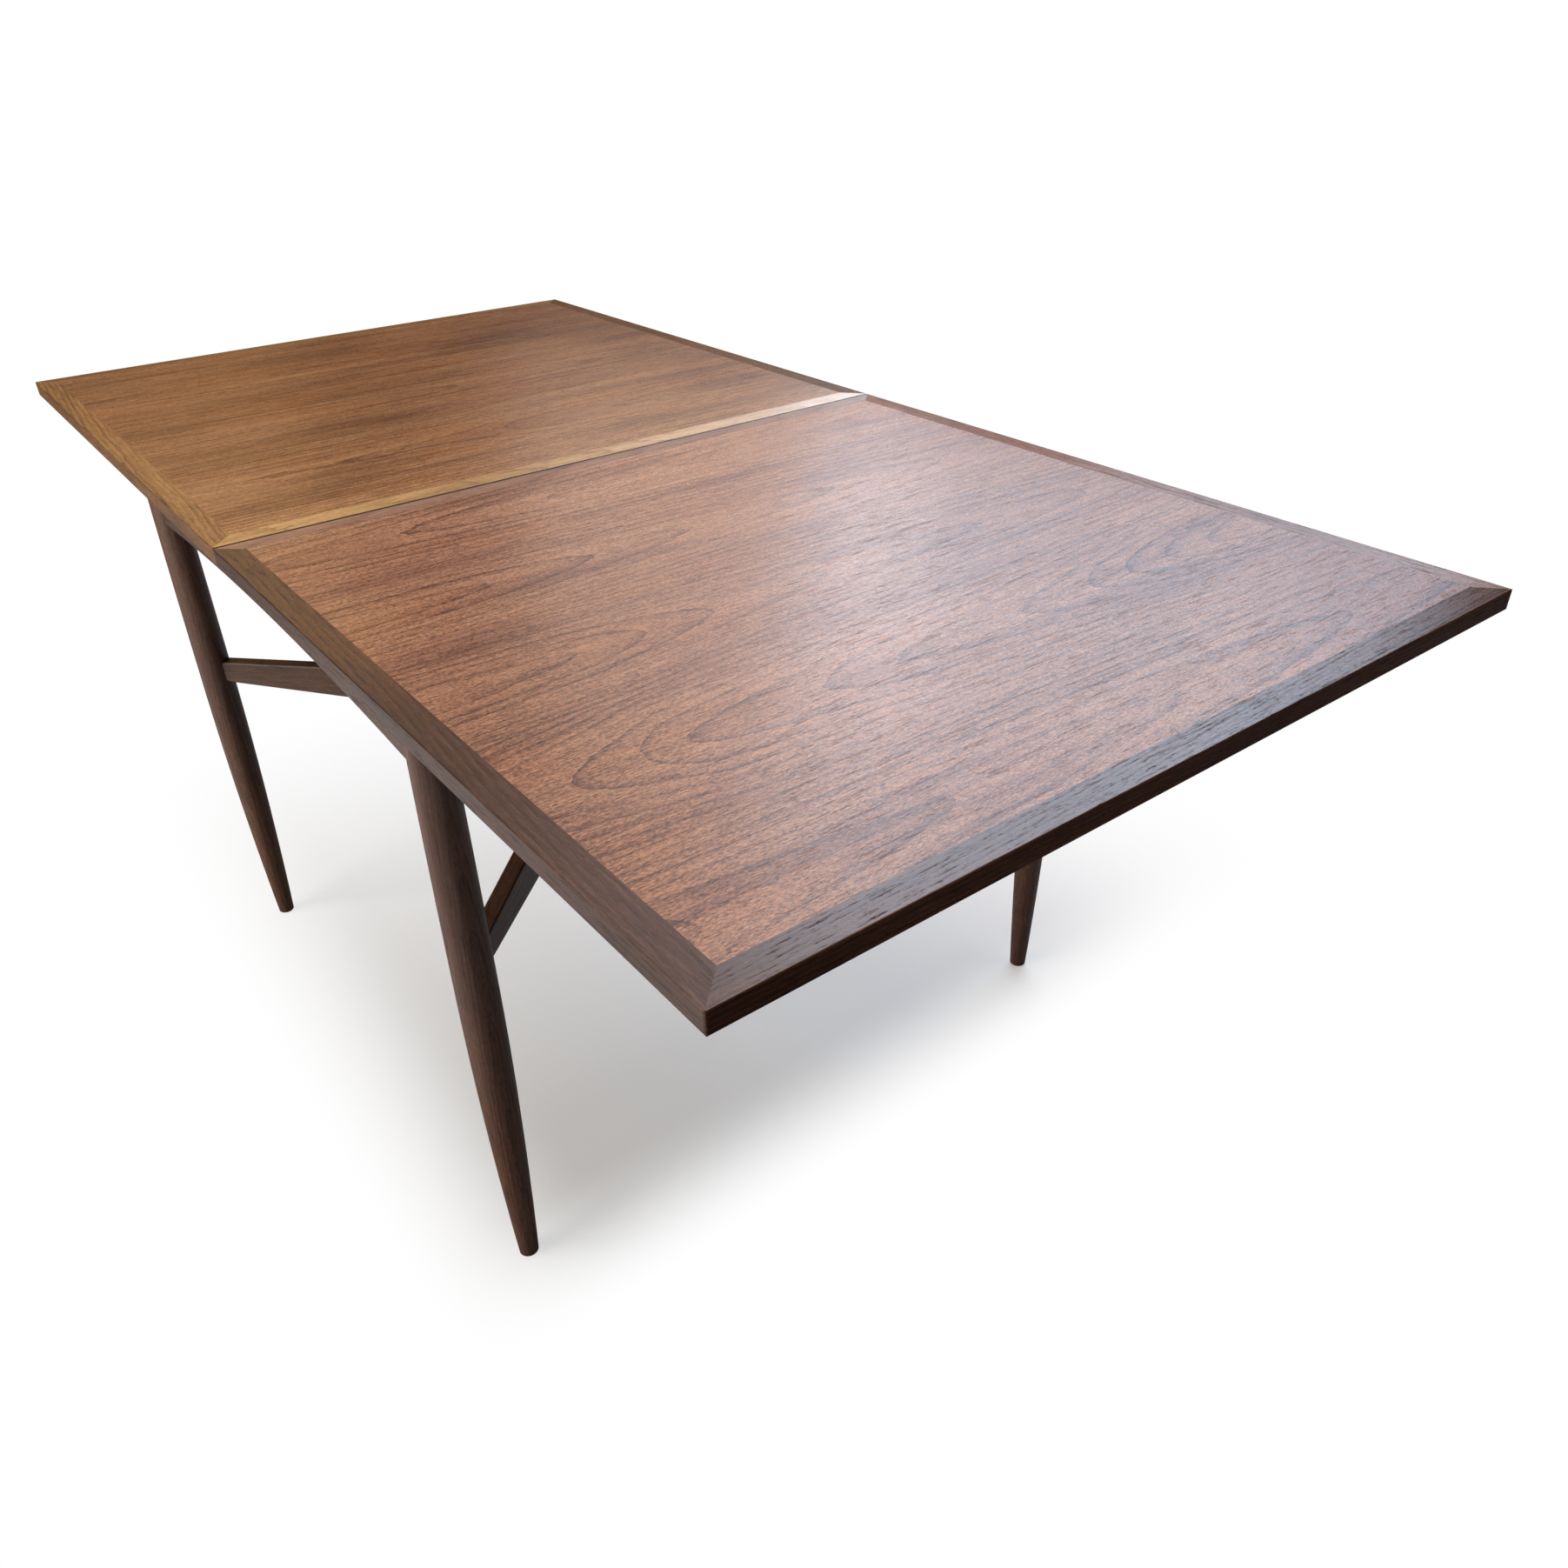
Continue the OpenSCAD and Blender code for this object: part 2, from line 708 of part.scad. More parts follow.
runner(1);  // runner_right
runner_screws();
hinge_cup(-1);  // hinge_cup_fixed_left
hinge_cup(0);  // hinge_cup_fixed_middle
hinge_cup(1);  // hinge_cup_fixed_right
hinge_links(0);  // hinge_links_fixed
hinge_pins();  // hinge_pins_fixed
hinge_screws();  // hinge_screws_fixed
flip_panel();
near_side() side_band(-1);  // flip_band_left
near_side() side_band(1);  // flip_band_right
near_side() end_band();  // flip_band_end
near_side() seam_band();  // flip_band_seam
near_side() hinge_cup(-1);  // hinge_cup_flip_left
near_side() hinge_cup(0);  // hinge_cup_flip_middle
near_side() hinge_cup(1);  // hinge_cup_flip_right
near_side() hinge_links(1);  // hinge_links_flip
near_side() hinge_pins();  // hinge_pins_flip
near_side() hinge_screws();  // hinge_screws_flip
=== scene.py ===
import math

import bpy
from mathutils import Matrix, Vector


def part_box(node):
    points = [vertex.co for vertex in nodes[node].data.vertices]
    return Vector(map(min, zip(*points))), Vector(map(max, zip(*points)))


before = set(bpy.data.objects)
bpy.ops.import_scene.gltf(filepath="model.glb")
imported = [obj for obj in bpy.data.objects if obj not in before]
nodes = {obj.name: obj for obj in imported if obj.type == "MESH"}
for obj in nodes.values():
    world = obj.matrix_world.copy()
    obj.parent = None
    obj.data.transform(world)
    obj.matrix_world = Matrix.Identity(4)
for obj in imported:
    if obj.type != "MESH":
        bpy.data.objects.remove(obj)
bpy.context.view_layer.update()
print("frame loaded,", len(nodes), "nodes")


def srgb(*shade):  # 0 to 255 as seen, to the linear numbers that a shader takes
    linear = [((c / 255 + 0.055) / 1.055) ** 2.4 if c > 10 else c / 3294.6 for c in shade]
    return (*linear, 1.0)


def grey(level):
    return (level, level, level, 1)


# Camera, at the photograph's place
view = {
    "azimuth": -36.704,
    "elevation": 32.915,
    "roll": -1.4146,
    "place": (-0.7310, -1.3541, 1.2294),
    "focalPixels": 1422.19,
    "axisPixel": (893.33, 921.51),
    "frameSize": 1803,
    "sensor": 36,
    "clip": (0.05, 60),
}


def makeCamera():
    turn = math.radians(view["azimuth"])
    rise = math.radians(view["elevation"])
    roll = math.radians(view["roll"])
    back = Vector((math.sin(turn), -math.cos(turn), 0)) * math.cos(rise)
    back.z = math.sin(rise)
    right = (-back).cross(Vector((0, 0, 1))).normalized()
    up = right.cross(-back)
    rolledRight = right * math.cos(roll) + up * math.sin(roll)
    rolledUp = up * math.cos(roll) - right * math.sin(roll)
    data = bpy.data.cameras.new("camera")
    data.sensor_width = view["sensor"]
    data.lens = view["focalPixels"] * data.sensor_width / view["frameSize"]
    middle = view["frameSize"] / 2
    data.shift_x = (middle - view["axisPixel"][0]) / view["frameSize"]
    data.shift_y = (view["axisPixel"][1] - middle) / view["frameSize"]
    data.clip_start, data.clip_end = view["clip"]
    camera = bpy.data.objects.new("camera", data)
    turned = Matrix((rolledRight, rolledUp, back)).transposed().to_4x4()
    camera.matrix_world = Matrix.Translation(view["place"]) @ turned
    bpy.context.scene.collection.objects.link(camera)
    bpy.context.scene.camera = camera
    print("camera placed")


makeCamera()


# Shader maths
class Signal:  # a number that varies over a surface
    def __init__(self, paint, socket):
        self.paint = paint
        self.socket = socket

    def __add__(self, other):
        return self.paint.maths("ADD", self, other)

    def __radd__(self, other):
        return self.paint.maths("ADD", other, self)

    def __sub__(self, other):
        return self.paint.maths("SUBTRACT", self, other)

    def __rsub__(self, other):
        return self.paint.maths("SUBTRACT", other, self)

    def __mul__(self, other):
        return self.paint.maths("MULTIPLY", self, other)

    def __rmul__(self, other):
        return self.paint.maths("MULTIPLY", other, self)

    def __truediv__(self, other):
        return self.paint.maths("DIVIDE", self, other)

    def __rtruediv__(self, other):
        return self.paint.maths("DIVIDE", other, self)

    def __pow__(self, other):
        return self.paint.maths("POWER", self, other)

    def __abs__(self):
        return self.paint.maths("ABSOLUTE", self)


class Paint:  # one material, or the sky, built node by node
    def __init__(self, name, sky=None):
        self.material = None if sky else bpy.data.materials.new(name)
        if self.material:
            self.material.use_nodes = True
        self.tree = sky or self.material.node_tree
        self.tree.nodes.clear()
        self.output = self.add("OutputWorld" if sky else "OutputMaterial")
        where = self.add("TexCoord")
        split = self.add("SeparateXYZ", {}, {0: where.outputs["Generated" if sky else "Object"]})
        self.x, self.y, self.z = [Signal(self, out) for out in split.outputs]

    def add(self, kind, settings=None, sockets=None):
        node = self.tree.nodes.new("ShaderNode" + kind)
        for key, value in (settings or {}).items():
            if key == "stops":
                self.fillRamp(node.color_ramp.elements, value)
            else:
                setattr(node, key, value)
        for key, value in (sockets or {}).items():
            self.plug(node.inputs[key], value)
        return node

    def plug(self, socket, value):
        source = value.socket if isinstance(value, Signal) else value
        if isinstance(source, bpy.types.NodeSocket):
            self.tree.links.new(source, socket)
        else:
            socket.default_value = source

    def fillRamp(self, stops, wanted):
        while len(stops) < len(wanted):
            stops.new(0.5)
        for stop, (place, colour) in zip(stops, wanted):
            stop.position = place
            stop.color = colour

    def maths(self, operation, *values):
        node = self.add("Math", {"operation": operation}, dict(enumerate(values)))
        return Signal(self, node.outputs[0])

    def clamp(self, value, low=0.0, high=1.0):
        return self.maths("MINIMUM", self.maths("MAXIMUM", value, low), high)

    def smooth(self, value, low, high):  # 0 below low, 1 above high
        settings = {"interpolation_type": "SMOOTHSTEP"}
        node = self.add("MapRange", settings, {"Value": value, "From Min": low, "From Max": high})
        return Signal(self, node.outputs[0])

    def noise(self, a, b, c, detail=2.0, seed=0.0, rough=0.5):  # 0 to 1, about 0.5
        vector = self.add("CombineXYZ", {}, {0: a, 1: b, 2: c + seed})
        sockets = {"Vector": vector.outputs[0], "Scale": 1.0, "Detail": detail, "Roughness": rough}
        return Signal(self, self.add("TexNoise", {}, sockets).outputs[0])

    def dice(self, value):  # one random number for each whole number
        node = self.add("TexWhiteNoise", {"noise_dimensions": "1D"}, {"W": value})
        return Signal(self, node.outputs["Value"])

    def pick(self, index, values):  # values[index], for a whole-number signal
        total = 0.0
        for place, value in enumerate(values):
            total = self.maths("COMPARE", index, place, 0.5) * value + total
        return total

    def ramp(self, value, stops):
        return self.add("ValToRGB", {"stops": stops}, {0: value}).outputs[0]

    def mix(self, factor, first, second, blend="MIX"):
        settings = {"data_type": "RGBA", "blend_type": blend}
        return self.add("Mix", settings, {0: factor, 6: first, 7: second}).outputs[2]

    def bump(self, height, distance, strength=1.0):
        sockets = {"Height": height, "Distance": distance, "Strength": strength}
        return self.add("Bump", {}, sockets).outputs[0]

    def surface(self, **sockets):
        named = {key.replace("_", " "): value for key, value in sockets.items()}
        shader = self.add("BsdfPrincipled", {}, named)
        self.tree.links.new(shader.outputs[0], self.output.inputs[0])
        return self.material


# Wood
grain = {  # waves per metre along and across the grain, detail, offset, roughness
    "wander": (2.6, 7, 2.0, 0.0, 0.5),  # slow drift of the rings
    "jag": (38, 150, 2.0, 3.1, 0.5),  # fine unevenness of the rings
    "fibre": (30, 340, 3.0, 1.7, 0.75),
    "speck": (170, 500, 2.0, 8.3, 0.7),
    "streak": (2.4, 95, 2.0, 9.4, 0.5),
    "cloud": (3.4, 15, 2.0, 5.9, 0.5),
    "blush": (4.5, 13, 2.0, 7.7, 0.5),
    "dashes": (24, 300, 2.0, 4.3, 0.5),
    "pores": (160, 1100, 1.0, 2.9, 0.5),
}
grainEdges = {  # where a noise starts to show and where it is full
    "blush": (0.45, 0.7),
    "dashes": (0.52, 0.70),
    "pores": (0.52, 0.75),
    "dusk": (-0.02, -0.3),
}
grainDusk = {"cloud": 1.0, "streak": 0.5, "line": -0.3}  # what brings on the dusky patches
grainDulls = {"fibre": 0.2, "dashes": 0.15, "pores": 0.1}  # open grain is dull
grainLifts = {"fibre": 0.5, "dashes": -0.5, "pores": -0.6, "line": -0.3}  # and lies lower
middleTone = 0.62  # place of plain wood on the ramp from dark to light
faintestRing = 0.4
slantSoftens = 12  # a ring that is cut at a slant shows a softer line


def timber(p, along, across, deep, depth, wood):
    # Growth rings about a heart that lies depth rings below the face, cut along the grain
    def field(kind, fine=1.0):
        long, short, detail, offset, rough = grain[kind]
        short = short * fine
        places = along * (long * fine), across * short, deep * short
        return p.noise(*places, detail, wood["seed"] + offset, rough)

    def patches(kind, fine=1.0):
        return p.smooth(field(kind, fine), *grainEdges[kind])

    wander = field("wander") - 0.5
    jag = field("jag") - 0.5
    below = depth + deep / wood["ringWidth"]
    aside = across / wood["ringWidth"]
    fromHeart = (below * below + aside * aside) ** 0.5
    ring = fromHeart + wander * wood["wander"] + jag * wood["jag"]
    whole = p.maths("FLOOR", ring)
    late = ring - whole  # 0 in the early wood, 1 at the dark end of a ring
    weight = p.dice(whole + wood["seed"]) * (1 - faintestRing) + faintestRing
    slant = abs(aside) / ring
    sharp = late ** (wood["lineSharp"] / (slant * slantSoftens + 1))
    line = (sharp + late ** 2 * wood["shade"]) * weight * (1 - slant * wood["sideFade"])
    fibre = field("fibre", wood["fine"]) - 0.5
    speck = field("speck", wood["fine"]) - 0.5
    streak = field("streak") - 0.5
    cloud = field("cloud") - 0.5
    blush = patches("blush")
    dashes = patches("dashes", wood["fine"])
    pores = patches("pores")
    parts = {
        "fibre": fibre,
        "streak": streak,
        "cloud": cloud,
        "dashes": dashes,
        "pores": pores,
        "line": line,
    }

    def blend(amounts, start=0.0):
        return sum((parts[kind] * amount for kind, amount in amounts.items()), start)

    light = cloud * wood["cloud"] + streak * wood["streak"]
    light = light + fibre * wood["fibre"] + speck * wood["speck"]
    dark = line * wood["line"] + dashes * wood["dash"] + pores * wood["pore"]
    colour = p.ramp(p.clamp(light - dark + middleTone), wood["stops"])
    colour = p.mix(blush * wood["blush"], colour, wood["blushTint"], "MULTIPLY")
    dusk = p.smooth(blend(grainDusk), *grainEdges["dusk"])
    colour = p.mix(dusk * wood["dusk"], colour, wood["duskTint"], "MULTIPLY")
    return colour, blend(grainDulls, wood["rough"]), blend(grainLifts)


def woodStops(dark, middle, light):
    return [(0.0, srgb(*dark)), (0.55, srgb(*middle)), (1.0, srgb(*light))]


def finishWood(p, colour, rough, height, wood, coat=0.0):
    return p.surface(
        Base_Color=colour,
        Roughness=rough,
        Specular_IOR_Level=wood["gloss"],
        Coat_Weight=coat,
        Coat_Roughness=wood["coatRough"],
        Normal=p.bump(height, wood["relief"]),
    )


def dress(material, *names):
    for name in names:
        slots = nodes[name].material_slots
        if not slots:
            nodes[name].data.materials.append(material)
        for slot in slots:
            slot.material = material


# Veneered panels: strips side by side, counted from the seam, each with the tips of its arches.
# A strip is the least depth of its heart in rings, and how many rings deeper it lies at each x.
leafWidth = 0.914
mostRings = 12  # a strip's heart is at most so many rings deeper at one place than at another
stripShift = 3.7  # moves the grain along from one strip to the next
patchEdge = 1.6  # a stain or a patch of painted shade fades out at the root of this times its half sizes
nearVeneer = {
    "name": "nearVeneer",
    "panel": "flip_panel",
    "stripWidth": 0.1883,
    "stripStart": 0.0,
    "strips": [
        (15, [(-0.457, 5), (-0.118, 3), (0.274, 1), (0.457, 0)]),
        (13, [(-0.457, 0.3), (-0.272, 1), (-0.161, 2), (-0.049, 3), (0.162, 4), (0.331, 5),
              (0.457, 5.8)]),
        (12, [(-0.457, 0), (-0.28, 1), (-0.215, 2), (-0.142, 3), (-0.003, 4), (0.212, 5),
              (0.366, 6), (0.457, 6.6)]),
        (12, [(-0.457, 10.8), (-0.395, 10), (-0.334, 9), (-0.295, 8), (-0.157, 7), (-0.08, 6),
              (0.074, 5), (0.166, 4), (0.22, 3), (0.281, 2), (0.343, 1), (0.457, 0)]),
        (15, [(-0.457, 0.4), (-0.415, 1), (-0.195, 2), (0.051, 3), (0.457, 4.6)]),
    ],
    # strip tints: each strip's own colour, and painted light and shade that lift or darken whole
    # strips
    "stripTintsAndLight": [0.05, 0.35, 0.65, 0.45, 0.40],
    "stripTintAndLightColours": (srgb(264, 256, 246), srgb(236, 224, 220)),
    "ringWidth": 0.006,
    "lineSharp": 26,
    "sideFade": 0.6,
    "fine": 1.6,
    "wander": 0.45,
    "jag": 0.22,
    "cloud": 0.36,
    "streak": 0.42,
    "fibre": 1.1,
    "speck": 2.4,
    "line": 0.55,
    "shade": 0.30,
    "dash": 0.24,
    "pore": 0.16,
    "blush": 0.7,
    "blushTint": srgb(255, 243, 228),
    "dusk": 0.7,
    "duskTint": srgb(214, 200, 206),
    "rough": 0.29,
    "gloss": 0.5,
    "coatRough": 0.3,
    "relief": 0.00005,
    "seed": 11.0,
    "stops": woodStops((76, 48, 38), (150, 108, 86), (190, 146, 116)),
    "stainsAndPaintedShade": [  # soft dark patches, stains of the wood and painted shade: x, y, half sizes, depth
        (-0.30, -0.20, 0.16, 0.030, 0.5),
        (-0.05, -0.36, 0.20, 0.022, 0.4),
        (-0.36, -0.39, 0.10, 0.03, 0.5),
        (0.10, -0.56, 0.22, 0.02, 0.35),
        (0.30, -0.10, 0.14, 0.03, 0.4),
        # the next two are painted shade, not stains: they darken the front right corner and the
        # left near the seam
        (0.42, -0.86, 0.22, 0.14, 0.9),
        (-0.40, -0.12, 0.12, 0.10, 0.5),
    ],
}
farVeneer = {
    **nearVeneer,
    "name": "farVeneer",
    "panel": "fixed_panel",
    "stripWidth": 0.25,
    "stripStart": 0.184,
    "strips": [
        (17.5, [(-0.457, 2), (0.457, 0)]),
        (18.5, [(-0.457, 4), (-0.061, 3), (0.02, 2), (0.3, 1), (0.457, 0)]),
        (18.5, [(-0.457, 0), (-0.1, 1), (0.104, 2), (0.457, 3)]),
        (20.5, [(-0.457, 1), (0.457, 0)]),
        (20.5, [(-0.457, 1), (0.457, 0)]),
    ],
    # strip tints: each strip's own colour, and painted light and shade that lift or darken whole
    # strips
    "stripTintsAndLight": [0.0, 0.5, 0.8, 0.9, 0.8],
    "stripTintAndLightColours": (srgb(286, 280, 272), srgb(241, 228, 218)),
    "gloss": 0.42,
    "sideFade": 0.3,
    "fine": 1.4,
    "wander": 1.6,
    "cloud": 0.5,
    "streak": 0.5,
    "fibre": 1.0,
    "speck": 1.7,
    "line": 0.34,
    "seed": 29.0,
    "duskTint": srgb(216, 204, 196),
    "stops": woodStops((70, 46, 31), (135, 97, 68), (172, 130, 92)),
    "stainsAndPaintedShade": [
        (0.05, 0.19, 0.16, 0.03, 0.45),
        (-0.05, 0.52, 0.26, 0.05, 0.5),
        (0.34, 0.74, 0.22, 0.16, 0.9),
        (-0.22, 0.33, 0.16, 0.03, 0.5),
        (0.34, 0.19, 0.09, 0.03, 0.9),
        # painted shade, not a stain: it darkens the far leaf's right side
        (0.46, 0.55, 0.18, 0.45, 0.6),
    ],
}


def veneer(wood):
    p = Paint(wood["name"])
    fromSeam = abs(p.y) + wood["stripStart"]
    strip = p.maths("FLOOR", fromSeam / wood["stripWidth"])
    across = fromSeam - (strip + 0.5) * wood["stripWidth"]
    fromLeft = p.x / leafWidth + 0.5
    depths = []
    for rings, tips in wood["strips"]:
        stops = [(x / leafWidth + 0.5, grey(rise / mostRings)) for x, rise in tips]
        depths.append(Signal(p, p.ramp(fromLeft, stops)) * mostRings + rings)
    along = p.x + strip * stripShift
    colour, rough, height = timber(p, along, across, across * 0, p.pick(strip, depths), wood)
    # each strip's own colour, mixed with painted light and shade
    lightAndTint = p.mix(p.pick(strip, wood["stripTintsAndLight"]), *wood["stripTintAndLightColours"])
    colour = p.mix(1.0, colour, lightAndTint, "MULTIPLY")
    shade = 0.0
    # soft dark patches: stains of the wood, and painted shade
    for x, y, halfX, halfY, depth in wood["stainsAndPaintedShade"]:
        aside, beyond = (p.x - x) / halfX, (p.y - y) / halfY
        shade = p.smooth(aside * aside + beyond * beyond, patchEdge, 0.0) * depth + shade
    colour = p.mix(p.clamp(shade), colour, wood["duskTint"], "MULTIPLY")
    dress(finishWood(p, colour, rough, height, wood), wood["panel"])


veneer(nearVeneer)
veneer(farVeneer)
print("panels veneered")


# Solid wood: edge bands, legs, rails, stretchers and the pieces under the top
solidWood = {
    "heart": 0.055,  # depth of the heart under the face
    "slope": 0.03,  # fall of the heart along the grain
    "ringWidth": 0.0032,
    "lineSharp": 12,
    "sideFade": 0.0,
    "fine": 1.0,
    "wander": 3.0,
    "jag": 0.5,
    "cloud": 0.40,
    "streak": 0.36,
    "fibre": 0.8,
    "speck": 0.6,
    "line": 0.26,
    "shade": 0.4,
    "dash": 0.22,
    "pore": 0.18,
    "blush": 0.6,
    "blushTint": srgb(255, 240, 226),
    "dusk": 0.5,
    "duskTint": srgb(212, 200, 200),
    "rough": 0.33,
    "gloss": 0.4,
    "coat": 0.0,
    "coatSpan": (0.0, 1.0),
    "coatGrain": 1.2,
    "coatRough": 0.25,
    "coatFrom": (0.7545, 0.7558),  # heights between which the lacquer sets in
    "gapShade": 0.0,  # reach of the dark line of dirt and painted shadow along the seam, 0 for none
    "gapEdge": 0.0012,
    "gapFrom": (0.7535, 0.755),
    "gapColour": srgb(30, 16, 10),
    "relief": 0.00005,
}
seedStep = 3.7  # sets the grain of one piece apart from that of the next


def solid(name, way, seed, shades, centre=(0.0, 0.0), **changes):
    wood = {**solidWood, "seed": seed * seedStep, "stops": woodStops(*shades), **changes}
    p = Paint(name)
    if way == "up":
        along, across, deep = p.z, p.x - centre[0], p.y - centre[1]
    else:  # level, at an angle from the X axis
        turn = math.radians(way)
        along = p.x * math.cos(turn) + p.y * math.sin(turn)
        across = p.y * math.cos(turn) - p.x * math.sin(turn)
        deep = p.z - centre[1]
    depth = along * (wood["slope"] / wood["ringWidth"]) + wood["heart"] / wood["ringWidth"]
    colour, rough, height = timber(p, along, across, deep, depth, wood)
    coat = 0.0
    if wood["coat"]:  # shinier lacquer on the upper face alone, thin where the grain is open
        coat = p.smooth(p.z, *wood["coatFrom"]) * p.smooth(along, *wood["coatSpan"])
        coat = p.clamp(coat * wood["coat"] * (height * wood["coatGrain"] + 1))
    if wood["gapShade"]:  # dark line along the joint of the two leaves: dirt in the joint and painted shadow of the gap
        shade = 1 - p.smooth(abs(p.y), wood["gapEdge"], wood["gapShade"])
        shade = shade * p.smooth(p.z, *wood["gapFrom"])
        colour = p.mix(shade, colour, wood["gapColour"])
    dress(finishWood(p, colour, rough, height, wood, coat), name)


# The shades differ from band to band partly in the wood and partly as painted light and shade: the
# lighter bands carry a painted sheen, the darker ones painted shade.
bands = {  # angle of the grain, seed, shades from dark to light, and changes
    "fixed_band_left": (90, 1, ((72, 48, 28), (136, 98, 60), (180, 138, 88)), {}),
    "fixed_band_right": (90, 2, ((46, 30, 17), (97, 64, 38), (132, 94, 60)), {"gloss": 0.1}),
    "fixed_band_end": (0, 3, ((66, 46, 26), (130, 93, 55), (168, 128, 82)), {}),
    "fixed_band_seam": (0, 4, ((108, 74, 42), (178, 138, 90), (212, 172, 118)),
                        {"coat": 1.5, "coatSpan": (-0.1, 0.4), "gapShade": 0.003}),
    "flip_band_left": (90, 5, ((40, 25, 18), (78, 51, 40), (108, 78, 62)), {}),
    "flip_band_right": (90, 6, ((68, 45, 35), (133, 96, 80), (175, 136, 121)),
                        {"coat": 1.6, "coatSpan": (-0.3, -0.65), "gloss": 0.05}),
    "flip_band_end": (0, 7, ((48, 27, 16), (88, 53, 36), (120, 82, 60)),
                      {"coat": 1.6, "coatSpan": (0.85, -0.55), "coatGrain": 0.9, "gloss": 0.05,
                       "dash": 0.15, "fine": 1.6}),
    "flip_band_seam": (0, 8, ((76, 52, 42), (138, 102, 86), (174, 136, 116)),
                       {"coat": 1.2, "coatSpan": (-0.1, 0.4), "gapShade": 0.0042}),
}
for bandName, (angle, seed, shades, changes) in bands.items():
    solid(bandName, angle, seed, shades, **changes)
print("edge bands done")

# Base
base = {
    "legShades": ((50, 31, 23), (98, 66, 50), (134, 96, 76)),
    "railShades": ((46, 30, 22), (88, 61, 47), (120, 88, 68)),
    "innerShades": ((150, 112, 74), (190, 152, 108), (214, 180, 138)),
    "outer": {"gloss": 0.5, "rough": 0.33},
    "inner": {"gloss": 0.2, "rough": 0.6},
    "legPlace": (0.413, 0.418),
}
legX, legY = base["legPlace"]
diagonal = math.degrees(math.atan2(legY, legX))
grainWays = {  # start of a node's name, and the way of its grain
    "side_rail": 90,
    "end_rail": 0,
    "stretcher_upper": diagonal,
    "stretcher_lower": -diagonal,
}
innerStarts = ("corner_block_", "slide_track_", "runner_left", "runner_right")
for seed, name in enumerate(sorted(nodes)):
    if name.startswith("leg_"):
        low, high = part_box(name)
        middle = (low + high) / 2
        solid(name, "up", seed, base["legShades"], (middle.x, middle.y), **base["outer"])
    elif name.startswith(innerStarts):
        solid(name, 90, seed, base["innerShades"], **base["inner"])
    for begin, way in grainWays.items():
        if name.startswith(begin):
            solid(name, way, seed, base["railShades"], **base["outer"])
print("base done")


# Metal, felt and rubber
fittings = {  # shade, roughness, metallic, starts of the nodes' names
    "satinBrass": ((198, 164, 96), 0.25, 1.0, ("hinge_cup", "hinge_links")),
    "zincSteel": ((176, 174, 168), 0.25, 1.0,
                  ("hinge_pins", "hinge_screws", "glide", "corner_screws", "runner_screws",
                   "stretcher_screw")),
    "greenFelt": ((44, 70, 54), 0.8, 0.0, ("felt",)),
    "blackRubber": ((40, 38, 36), 0.6, 0.0, ("buffers",)),
}
wear = {
    "grimeScale": 90,
    "grimeShade": 0.6,
    "grimeDepth": 0.4,
    "grimeDulls": 0.15,
    "scratchScales": (60, 900),  # waves per metre along X and across it
    "scratchDulls": 0.1,
    "scratchRelief": 0.00003,
}


def fitting(name, shade, rough, metallic, parts):
    p = Paint(name)
    scale = wear["grimeScale"]
    grime = p.noise(p.x * scale, p.y * scale, p.z * scale, 3.0)
    long, short = wear["scratchScales"]
    scratch = p.noise(p.x * long, p.y * short, p.z * short, 2.0)
    dark = [part * wear["grimeShade"] for part in shade]
    material = p.surface(
        Base_Color=p.mix(grime * wear["grimeDepth"], srgb(*shade), srgb(*dark)),
        Roughness=grime * wear["grimeDulls"] + scratch * wear["scratchDulls"] + rough,
        Metallic=metallic,
        Normal=p.bump(scratch, wear["scratchRelief"]),
    )
    dress(material, *[node for node in nodes if node.startswith(parts)])


for fittingName, look in fittings.items():
    fitting(fittingName, *look)
print("fittings done")


# Floor, lights and background
studio = {
    "floorSize": 30.0,
    "floorShade": 0.97,
    "floorBounce": 0.30,
    "floorInGloss": 0.45,
    "glossFades": ((0.5, 1.0), (0.8, 1.7)),  # towards the left, and towards the far end
    "shadowDepth": 0.9,
    "shadowFades": {
        "left": (0.29, 0.55),
        "right": (0.45, 1.05),
        "near": (0.35, 0.55),
        "far": (-0.25, 1.05),
    },
    "skyLevel": 0.5,
    "roomHalf": (4.2, 4.5),
    "roomHeight": 5.5,
    "wallShade": (96, 70, 46),
    "wallStains": (2, 0.3),  # scale and depth
    "lampDistance": 3.6,
    "lampAim": Vector((0, -0.3, 0.757)),
}
lamps = {  # direction as azimuth from +X and elevation, size, radiance, colour
    "windowRight": (30, 35, (2.5, 2.3), 4.35, (0.64, 0.80, 1.0)),
    "windowMiddle": (55, 28, (1.6, 1.6), 1.9, (1.0, 0.84, 0.76)),
    "windowFar": (90, 25, (1.2, 1.2), 1.5, (1.0, 0.63, 0.29)),
    "windowLeft": (167, 2, (2.7, 1.2), 6.4, (1.0, 0.90, 0.80)),
    "windowLeftHigh": (165, 32, (2.3, 1.9), 2.75, (1.0, 0.99, 0.91)),
    "ceiling": (0, 85, (2.6, 2.6), 3.0, (1.0, 0.88, 0.77)),
}


def makeLamp(name, azimuth, elevation, size, radiance, colour):
    turn, rise = math.radians(azimuth), math.radians(elevation)
    way = Vector((math.cos(turn), math.sin(turn), 0)) * math.cos(rise)
    way.z = math.sin(rise)
    data = bpy.data.lights.new(name, "AREA")
    data.shape = "RECTANGLE"
    data.size, data.size_y = size
    data.energy = radiance * math.pi * size[0] * size[1]
    data.color = colour
    lamp = bpy.data.objects.new(name, data)
    lamp.location = studio["lampAim"] + way * studio["lampDistance"]
    lamp.rotation_euler = (-way).to_track_quat("-Z", "Y").to_euler()
    lamp.visible_camera = False
    bpy.context.scene.collection.objects.link(lamp)


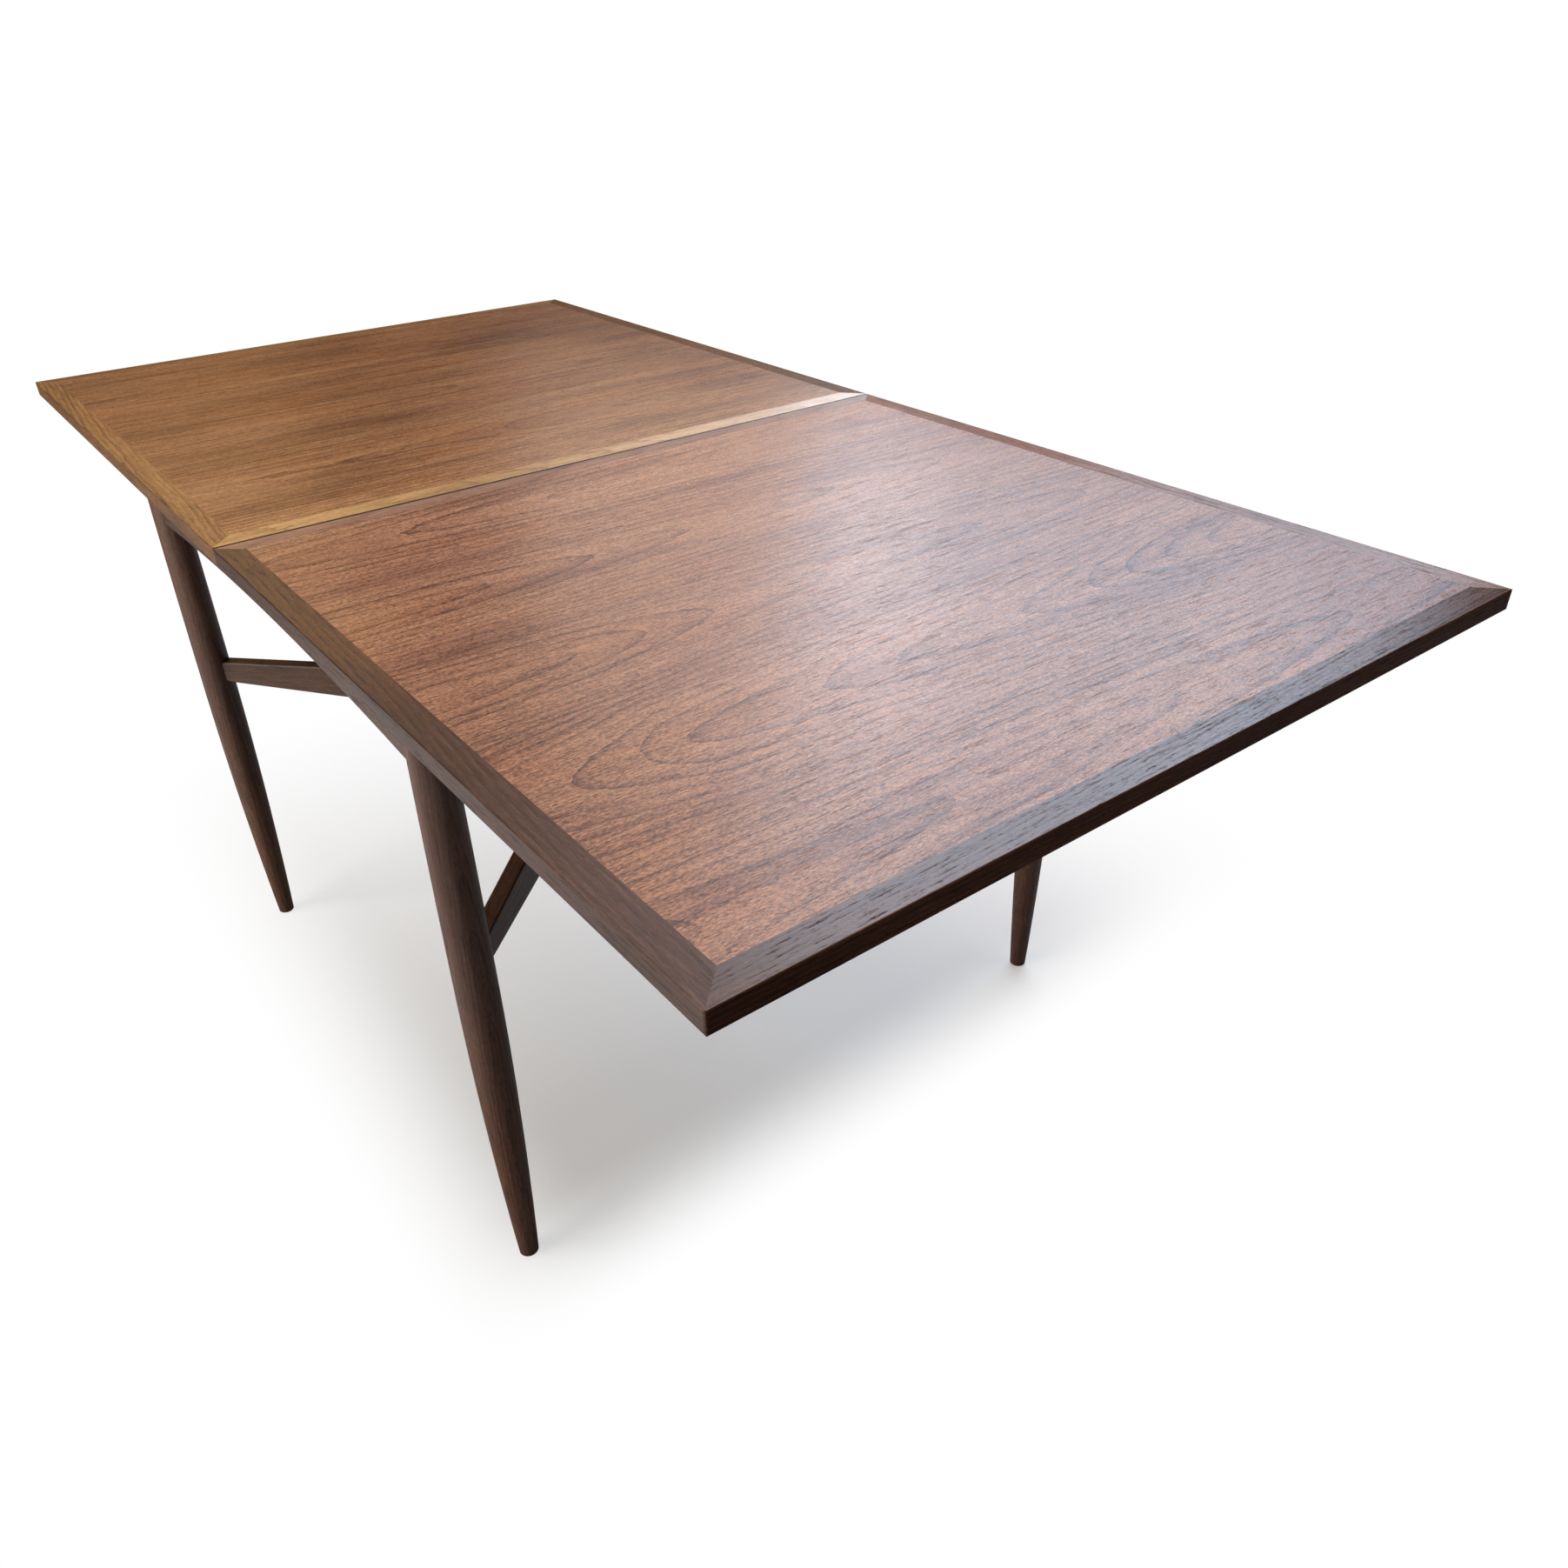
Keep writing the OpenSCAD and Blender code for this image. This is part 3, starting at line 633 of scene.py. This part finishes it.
def makeStage(name, corners, material):
    mesh = bpy.data.meshes.new(name)
    faces = [tuple(range(i, i + 4)) for i in range(0, len(corners), 4)]
    mesh.from_pydata(corners, [], faces)
    mesh.materials.append(material)
    piece = bpy.data.objects.new(name, mesh)
    bpy.context.scene.collection.objects.link(piece)
    return piece


def raySignals(p, *kinds):
    ray = p.add("LightPath")
    return [Signal(p, ray.outputs[f"Is {kind} Ray"]) for kind in kinds]


def makeFloor():  # white to the camera but for the shadow, dim in the light that it throws back, and in reflections partly glowing to the left as a painted bright floor
    p = Paint("paleFloor")
    fades = studio["shadowFades"]
    shadow = (1 - p.smooth(0 - p.x, *fades["left"])) * (1 - p.smooth(p.x, *fades["right"]))
    shadow = shadow * (1 - p.smooth(0 - p.y, *fades["near"]))
    low, high = fades["far"]
    shadow = shadow * (1 - p.clamp((p.y - low) / (high - low)))
    white = 1 - shadow * studio["shadowDepth"]
    camera, glossy = raySignals(p, "Camera", "Glossy")
    towardLeft, towardFar = studio["glossFades"]
    # painted light: in reflections the floor glows towards the left, as if lit, fading out beyond
    # the far end
    bright = p.smooth(0 - p.x, *towardLeft) * (1 - p.smooth(p.y, *towardFar))
    seen = p.clamp(camera + glossy * bright * studio["floorInGloss"])
    pale = p.mix(seen, grey(studio["floorBounce"]), grey(studio["floorShade"]))
    diffuse = p.add("BsdfDiffuse", {}, {"Color": pale})
    glow = p.add("Emission", {}, {"Color": grey(1), "Strength": 1.0})
    blend = p.add("MixShader", {}, {0: white * seen, 1: diffuse.outputs[0], 2: glow.outputs[0]})
    p.tree.links.new(blend.outputs[0], p.output.inputs[0])
    half = studio["floorSize"] / 2
    corners = [(-half, -half, 0), (half, -half, 0), (half, half, 0), (-half, half, 0)]
    makeStage("floor", corners, p.material)


def makeWalls():
    p = Paint("dimWall")
    scale, depth = studio["wallStains"]
    stain = p.noise(p.x * scale, p.y * scale, p.z * scale, 3.0)
    colour = p.mix(stain * depth, srgb(*studio["wallShade"]), grey(0))
    diffuse = p.add("BsdfDiffuse", {}, {"Color": colour})
    p.tree.links.new(diffuse.outputs[0], p.output.inputs[0])
    x, y = studio["roomHalf"]
    plan = [(-x, -y), (x, -y), (x, y), (-x, y)]
    top = studio["roomHeight"]
    corners = []
    for start, end in zip(plan, plan[1:] + plan[:1]):
        corners += [(*start, 0), (*end, 0), (*end, top), (*start, top)]
    makeStage("walls", corners, p.material).visible_camera = False


def makeSky():
    world = bpy.data.worlds.new("studio")
    bpy.context.scene.world = world
    world.use_nodes = True
    p = Paint(None, world.node_tree)
    camera, glossy, through = raySignals(p, "Camera", "Glossy", "Transmission")
    shown = p.clamp(camera + glossy + through)
    level = studio["skyLevel"]
    strength = shown * (1 - level) + level
    sky = p.add("Background", {}, {"Color": grey(1), "Strength": strength})
    p.tree.links.new(sky.outputs[0], p.output.inputs[0])


makeFloor()
makeWalls()
makeSky()
for lampName, lamp in lamps.items():
    makeLamp(lampName, *lamp)
bpy.context.scene.view_settings.view_transform = "Standard"
print("studio lit")
